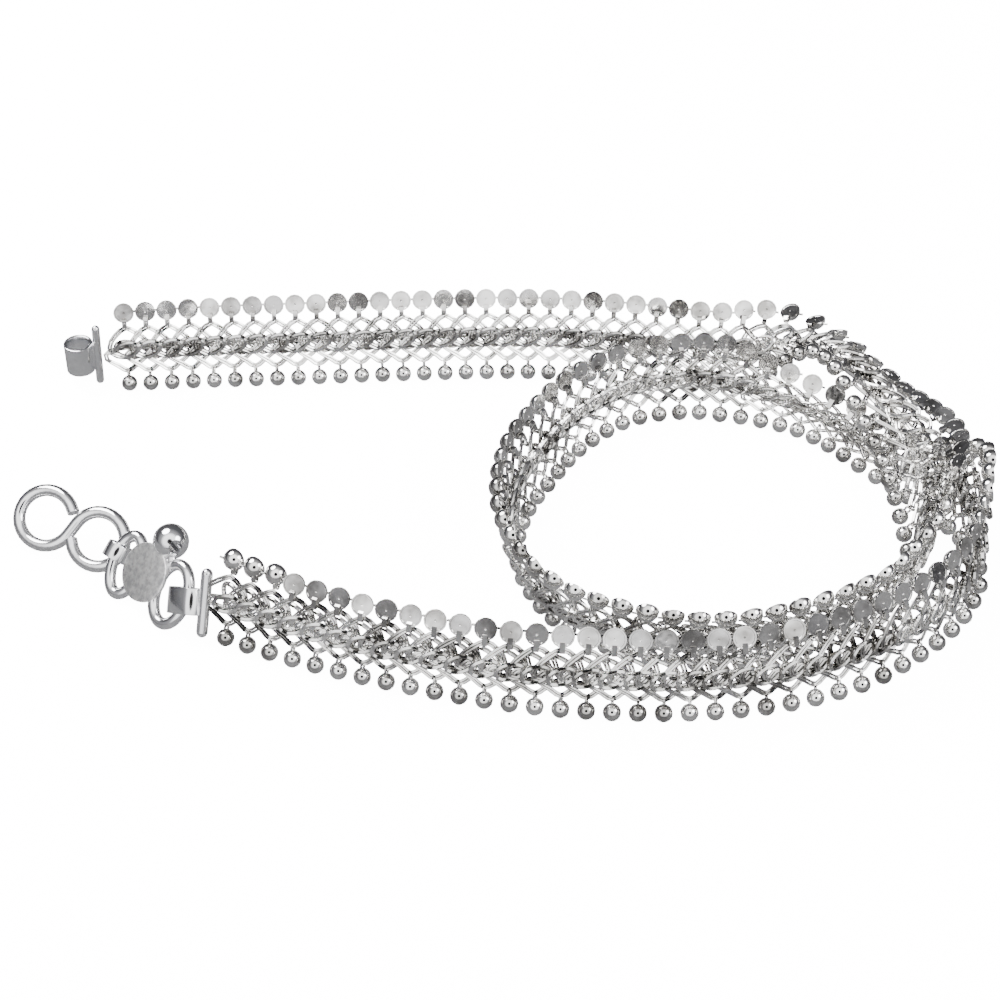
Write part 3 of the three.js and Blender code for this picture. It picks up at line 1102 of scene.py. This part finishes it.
class CHAIN_OT_half_balls(bpy.types.Operator):
    """Make the row of half-balls, each on its own loop, so that they turn a little"""

    bl_idname = "chain.half_balls"
    bl_label = "Half-balls"

    def execute(self, context):
        sizes = context.scene.chain_sizes
        dice = random.Random(sizes.seed + 3)
        half_ball = half_ball_shape(sizes.half_ball)
        bail = (*HALF_BAIL_INSIDE, sizes.bail_strip, HALF_BAIL_THICKNESS)
        loop = strip_band(*bail, fine=False)
        loop.transform(Matrix.Rotation(0.5 * math.pi, 4, "Y"))
        pin = tube([(-PIN_HALF_LENGTH, 0, 0), (PIN_HALF_LENGTH, 0, 0)], PIN_RADIUS, 1)
        ball_places = []
        loop_places = []
        pin_places = []
        for lay, tall, share in band_places():
            height = sizes.row_spacing * tall
            turned = TURNED_FROM < share < TURNED_TO
            forward = dice.uniform(-HALF_BALL_PLAY, HALF_BALL_PLAY) + TURNED_NOD * turned
            nod = Matrix.Rotation(forward, 4, "X")
            swing = Matrix.Rotation(dice.uniform(-HALF_BALL_PLAY, HALF_BALL_PLAY), 4, "Z")
            flip = Matrix.Rotation(math.pi, 4, "Z") if turned else Matrix.Identity(4)
            middle = Matrix.Translation((0, HALF_BALL_DEPTHS[turned], height))
            ball_places.append(lay @ middle @ swing @ nod @ flip)
            hang = Matrix.Translation((0, HALF_BAIL_DEPTHS[turned], height - HALF_BAIL_DROP))
            askew = math.radians(dice.uniform(-HALF_BAIL_PLAY, HALF_BAIL_PLAY))
            twist = Matrix.Rotation(askew, 4, "Z")
            loop_places.append(lay @ hang @ twist)
            pin_places.append(lay @ Matrix.Translation((*PIN_AT, height)))
        mesh = strewn([(half_ball, ball_places), (loop, loop_places), (pin, pin_places)])
        piece("half_balls", mesh, "silver_beads", ["half_ball_row"])
        return {"FINISHED"}


def clasp_lays():
    """Every clasp piece's place, from the bar to the hook, and the collar's inside length."""
    sizes = bpy.context.scene.clasp_sizes
    # The bail runs on from the bar, and the right ring hangs in it.
    bar = piece_lay(HOOK_BAR, *CLASP_RUNS["bar"])
    run, tilt = CLASP_RUNS["bail"]
    bail_run = Vector(run).normalized()
    reach = 0.5 * BAIL_INSIDE + sizes.strip + 0.35 * sizes.end_bar
    bail = piece_lay(Vector(HOOK_BAR) - bail_run * reach, bail_run, tilt)
    ring_half = 0.5 * (sizes.link_height - sizes.link_wire)
    left_reach = 0.5 * (sizes.left_ring - sizes.link_wire)
    right_reach = 0.5 * (sizes.right_ring - sizes.link_wire)
    right = piece_lay(bail.translation, *CLASP_RUNS["right"])
    right = right @ Matrix.Translation((-right_reach, 0, 0))
    run, tilt = CLASP_RUNS["left"]
    left = piece_lay(LEFT_RING, run, tilt)
    # The plate lies over the place where the two rings meet, and the bead on its arm above.
    near = left @ Vector((left_reach, 0, PLATE_LEFT))
    far = right @ Vector((-right_reach, 0, PLATE_RIGHT))
    plate = piece_lay(near.lerp(far, 0.5), far - near, tilt)
    depth = SOLDER - 0.5 * (sizes.link_wire + sizes.plate_thickness)
    plate = plate @ Matrix.Translation((0, depth, 0))
    bead = piece_lay(right @ Vector(BEAD_MIDDLE), *CLASP_RUNS["bead"])
    foot = Matrix.Translation(right @ Vector(ARM_FOOT))
    # The collar holds the hook's wire and the left ring's wire side by side.
    hook = piece_lay(FREE_LOOP, *CLASP_RUNS["hook"])
    small = 0.5 * (sizes.small_loop - sizes.hook_wire)
    aside = sizes.loop_stretch * math.sqrt(small**2 - HOOK_GRIP**2)
    held = hook @ Vector((sizes.loop_reach + aside, 0, -HOOK_GRIP))
    aside = left_reach * math.sqrt(1 - (RING_GRIP / ring_half) ** 2)
    holder = left @ Vector((-aside, 0, RING_GRIP))
    collar = piece_lay(holder.lerp(held, 0.5), held - holder, rise=COLLAR_RISE)
    inside = (held - holder).length + 0.5 * (sizes.hook_wire + sizes.link_wire)
    origin = Matrix.Translation(ROUTE_ORIGIN)
    lays = {
        "bar": bar,
        "bail": bail,
        "right": right,
        "left": left,
        "plate": plate,
        "bead": bead,
        "foot": foot,
        "collar": collar,
        "hook": hook,
    }
    return {name: origin @ lay for name, lay in lays.items()}, inside + 2 * WIRE_ROOM


def cut_end(radius):
    """The flat sawn end of a wire, facing along Z: its edge eased, a small hollow in it."""
    shape = bmesh.new()
    bmesh.ops.create_cone(
        shape, cap_ends=True, segments=28, radius1=radius, radius2=radius, depth=radius
    )
    top = [face for face in shape.faces if face.normal.z > 0.9]
    # Each step inward and its height, in radii: the eased edge, the flat, the hollow.
    steps = [(0.12, 0.1), (0.4, 0.0), (0.16, -0.2)]
    for thickness, depth in steps:
        bmesh.ops.inset_region(
            shape, faces=top, thickness=thickness * radius, depth=depth * radius
        )
    return finished(shape)


def round_ended_bar(diameter, length, place):
    """A bar with two round ends that stands along Z at a place: its meshes and their places."""
    radius = 0.5 * diameter
    half = 0.5 * length - radius
    bar = tube([(0, 0, -half), (0, 0, half)], radius, 6)
    shape = bmesh.new()
    bmesh.ops.create_uvsphere(shape, u_segments=16, v_segments=10, radius=radius)
    tips = [place @ Matrix.Translation((0, 0, side * half)) for side in (1, -1)]
    return [(bar, [place]), (finished(shape), tips)]


def strip_band(inside, width, tall, thickness, fine=True):
    """A flat strip bent round into a flattened loop that stands along Z. The rims of a fine
    one are softened; one that is repeated along the band is coarse."""
    segments = 40 if fine else 8
    straight = 0.5 * (inside - width)
    shape = bmesh.new()
    bmesh.ops.create_circle(shape, segments=segments, radius=0.5 * width + thickness)
    for vert in shape.verts:
        vert.co.x += straight if vert.co.x > -1e-6 else -straight
        vert.co.z -= 0.5 * tall
    grown = bmesh.ops.extrude_edge_only(shape, edges=shape.edges[:])["geom"]
    risen = [item for item in grown if isinstance(item, bmesh.types.BMVert)]
    bmesh.ops.translate(shape, verts=risen, vec=(0, 0, tall))
    bmesh.ops.recalc_face_normals(shape, faces=shape.faces)
    bmesh.ops.solidify(shape, geom=shape.faces[:], thickness=thickness)
    if not fine:
        return finished(shape)
    rims = [edge for edge in shape.edges if edge.calc_face_angle(0.0) > 1.0]
    soften(shape, rims, 0.25 * thickness, 2)
    return finished(shape)


def round_plate(diameter, thickness):
    """A round plate facing along Y, its edge softened."""
    shape = bmesh.new()
    bmesh.ops.create_cone(
        shape,
        cap_ends=True,
        segments=72,
        radius1=0.5 * diameter,
        radius2=0.5 * diameter,
        depth=thickness,
    )
    face_along_y(shape)
    rims = [edge for edge in shape.edges if edge.calc_face_angle(0.0) > 1.0]
    soften(shape, rims, 0.22 * thickness, 3)
    return finished(shape)


def holed_bead(diameter, hole):
    """A ball with a round hole through it along Y."""
    shape = bmesh.new()
    bmesh.ops.create_uvsphere(shape, u_segments=40, v_segments=24, radius=0.5 * diameter)
    level = math.sqrt((0.5 * diameter) ** 2 - (0.5 * hole) ** 2)
    for side in (1, -1):
        slice_off(shape, (0, 0, side * level), (0, 0, side))
    rims = [edge for edge in shape.edges if edge.is_boundary]
    bmesh.ops.bridge_loops(shape, edges=rims)
    face_along_y(shape)
    return finished(shape)


class CHAIN_OT_ring_link(bpy.types.Operator):
    """Make the ring link: two oval rings, the satin plate over them and the holed bead"""

    bl_idname = "chain.ring_link"
    bl_label = "Ring Link"

    def execute(self, context):
        sizes = context.scene.clasp_sizes
        lays, _ = clasp_lays()
        rings = []
        for name, width in (("left", sizes.left_ring), ("right", sizes.right_ring)):
            round_it = oval(width - sizes.link_wire, sizes.link_height - sizes.link_wire, 56)
            rings.append((tube(round_it, 0.5 * sizes.link_wire, 6, True), [lays[name]]))
        bead = holed_bead(sizes.bead, sizes.bead_hole)
        foot = lays["foot"].translation
        arm = tube([foot, foot.lerp(lays["bead"].translation, 0.5)], ARM_RADIUS, 5)
        mesh = strewn([*rings, (arm, [Matrix.Identity(4)]), (bead, [lays["bead"]])])
        piece("link_rings", mesh, "polished_silver", ["ring_link"])
        plate = round_plate(sizes.plate, sizes.plate_thickness)
        mesh = strewn([(plate, [lays["plate"]])])
        piece("round_plate", mesh, "satin_silver", ["ring_link"])
        return {"FINISHED"}


class CHAIN_OT_hook(bpy.types.Operator):
    """Make the S-hook and the strip collar that holds it to the ring link"""

    bl_idname = "chain.hook"
    bl_label = "Hook and Collar"

    def execute(self, context):
        sizes = context.scene.clasp_sizes
        lays, inside = clasp_lays()
        big = 0.5 * (sizes.big_loop - sizes.hook_wire)
        small = 0.5 * (sizes.small_loop - sizes.hook_wire)
        stretch = sizes.loop_stretch
        lean = math.acos(stretch * (big + small) / sizes.loop_reach)
        # Each loop's middle along X, its radius, and the angles that it starts and ends at.
        bends = [
            (0.0, big, math.radians(FREE_END), 2 * math.pi - lean),
            (sizes.loop_reach, small, math.pi - lean, math.radians(HELD_END)),
        ]
        steps = 26
        points = []
        for middle, radius, start, end in bends:
            for i in range(steps + 1):
                angle = start + (end - start) * i / steps
                x = middle + stretch * radius * math.cos(angle)
                points.append(Vector((x, 0, radius * math.sin(angle))))
        wire = tube(points, 0.5 * sizes.hook_wire, 6)
        tip = cut_end(0.5 * sizes.hook_wire)
        ends = []
        for last, before in ((points[0], points[1]), (points[-1], points[-2])):
            turn = (last - before).to_track_quat("Z", "Y").to_matrix().to_4x4()
            ends.append(lays["hook"] @ Matrix.Translation(last) @ turn)
        mesh = strewn([(wire, [lays["hook"]]), (tip, ends)])
        piece("hook_wire", mesh, "polished_silver", ["s_hook"])
        width = sizes.hook_wire + 2 * WIRE_ROOM
        collar = strip_band(inside, width, COLLAR_WIDTH, sizes.strip)
        mesh = strewn([(collar, [lays["collar"]])])
        piece("collar_strip", mesh, "polished_silver", ["strip_collar"])
        return {"FINISHED"}


class CHAIN_OT_ends(bpy.types.Operator):
    """Make the two end pieces: the bar with its bail, and the bar with its tube eye"""

    bl_idname = "chain.ends"
    bl_label = "End Pieces"

    def execute(self, context):
        sizes = context.scene.clasp_sizes
        lays, _ = clasp_lays()
        bar = round_ended_bar(sizes.end_bar, sizes.end_bar_length, lays["bar"])
        width = sizes.link_wire + 2 * WIRE_ROOM
        bail = strip_band(BAIL_INSIDE, width, BAIL_WIDTH, sizes.strip)
        mesh = strewn([*bar, (bail, [lays["bail"]])])
        piece("hook_bar_and_bail", mesh, "polished_silver", ["hook_end"])

        origin = Matrix.Translation(ROUTE_ORIGIN)
        post = origin @ piece_lay(EYE_BAR, tilt=EYE_BAR_TILT)
        eye_at = origin @ piece_lay(EYE_MIDDLE)
        bar = round_ended_bar(sizes.eye_bar, sizes.end_bar_length, post)
        inside = sizes.eye_outside - 2 * EYE_WALL
        eye = strip_band(inside, inside, sizes.eye_height, EYE_WALL)
        neck = bmesh.new()
        bmesh.ops.create_cube(neck, size=1.0)
        box = (NECK_SIDE, NECK_SIDE, 0.8 * sizes.eye_height)
        bmesh.ops.scale(neck, verts=neck.verts, vec=box)
        soften(neck, neck.edges[:], NECK_EDGE, 3)
        neck_at = post @ Matrix.Translation((-0.5 * sizes.eye_bar - SOLDER, 0, 0))
        mesh = strewn([*bar, (eye, [eye_at]), (finished(neck), [neck_at])])
        piece("tube_eye", mesh, "polished_silver", ["eye_end"])
        return {"FINISHED"}


class CHAIN_PT_panel(bpy.types.Panel):
    """Lists the chain's sizes, colours and pieces"""

    bl_idname = "CHAIN_PT_panel"
    bl_label = "Waist Chain"
    bl_space_type = "VIEW_3D"
    bl_region_type = "UI"
    bl_category = "Waist Chain"

    def draw(self, context):
        layout = self.layout
        groups = ("chain_sizes", "clasp_sizes", "chain_colours", "studio_sizes")
        for group in groups:
            values = getattr(context.scene, group)
            box = layout.box()
            for name in values.__annotations__:
                box.prop(values, name)
        for operator in OPERATORS:
            layout.operator(operator.bl_idname)


OPERATORS = (
    CHAIN_OT_stage,
    CHAIN_OT_woven_rings,
    CHAIN_OT_curb_chain,
    CHAIN_OT_balls,
    CHAIN_OT_half_balls,
    CHAIN_OT_ring_link,
    CHAIN_OT_hook,
    CHAIN_OT_ends,
)
GROUPS = {
    "chain_sizes": ChainSizes,
    "clasp_sizes": ClaspSizes,
    "chain_colours": ChainColours,
    "studio_sizes": StudioSizes,
}


def register():
    for group in GROUPS.values():
        bpy.utils.register_class(group)
    for operator in OPERATORS:
        bpy.utils.register_class(operator)
    bpy.utils.register_class(CHAIN_PT_panel)
    for name, group in GROUPS.items():
        setattr(bpy.types.Scene, name, PointerProperty(type=group))


def unregister():
    for name in GROUPS:
        delattr(bpy.types.Scene, name)
    bpy.utils.unregister_class(CHAIN_PT_panel)
    for operator in reversed(OPERATORS):
        bpy.utils.unregister_class(operator)
    for group in reversed(GROUPS.values()):
        bpy.utils.unregister_class(group)


def main():
    register()
    bpy.ops.chain.stage()
    bpy.ops.chain.woven_rings()
    bpy.ops.chain.curb_chain()
    bpy.ops.chain.balls()
    bpy.ops.chain.half_balls()
    bpy.ops.chain.ring_link()
    bpy.ops.chain.hook()
    bpy.ops.chain.ends()


if __name__ == "__main__":
    main()
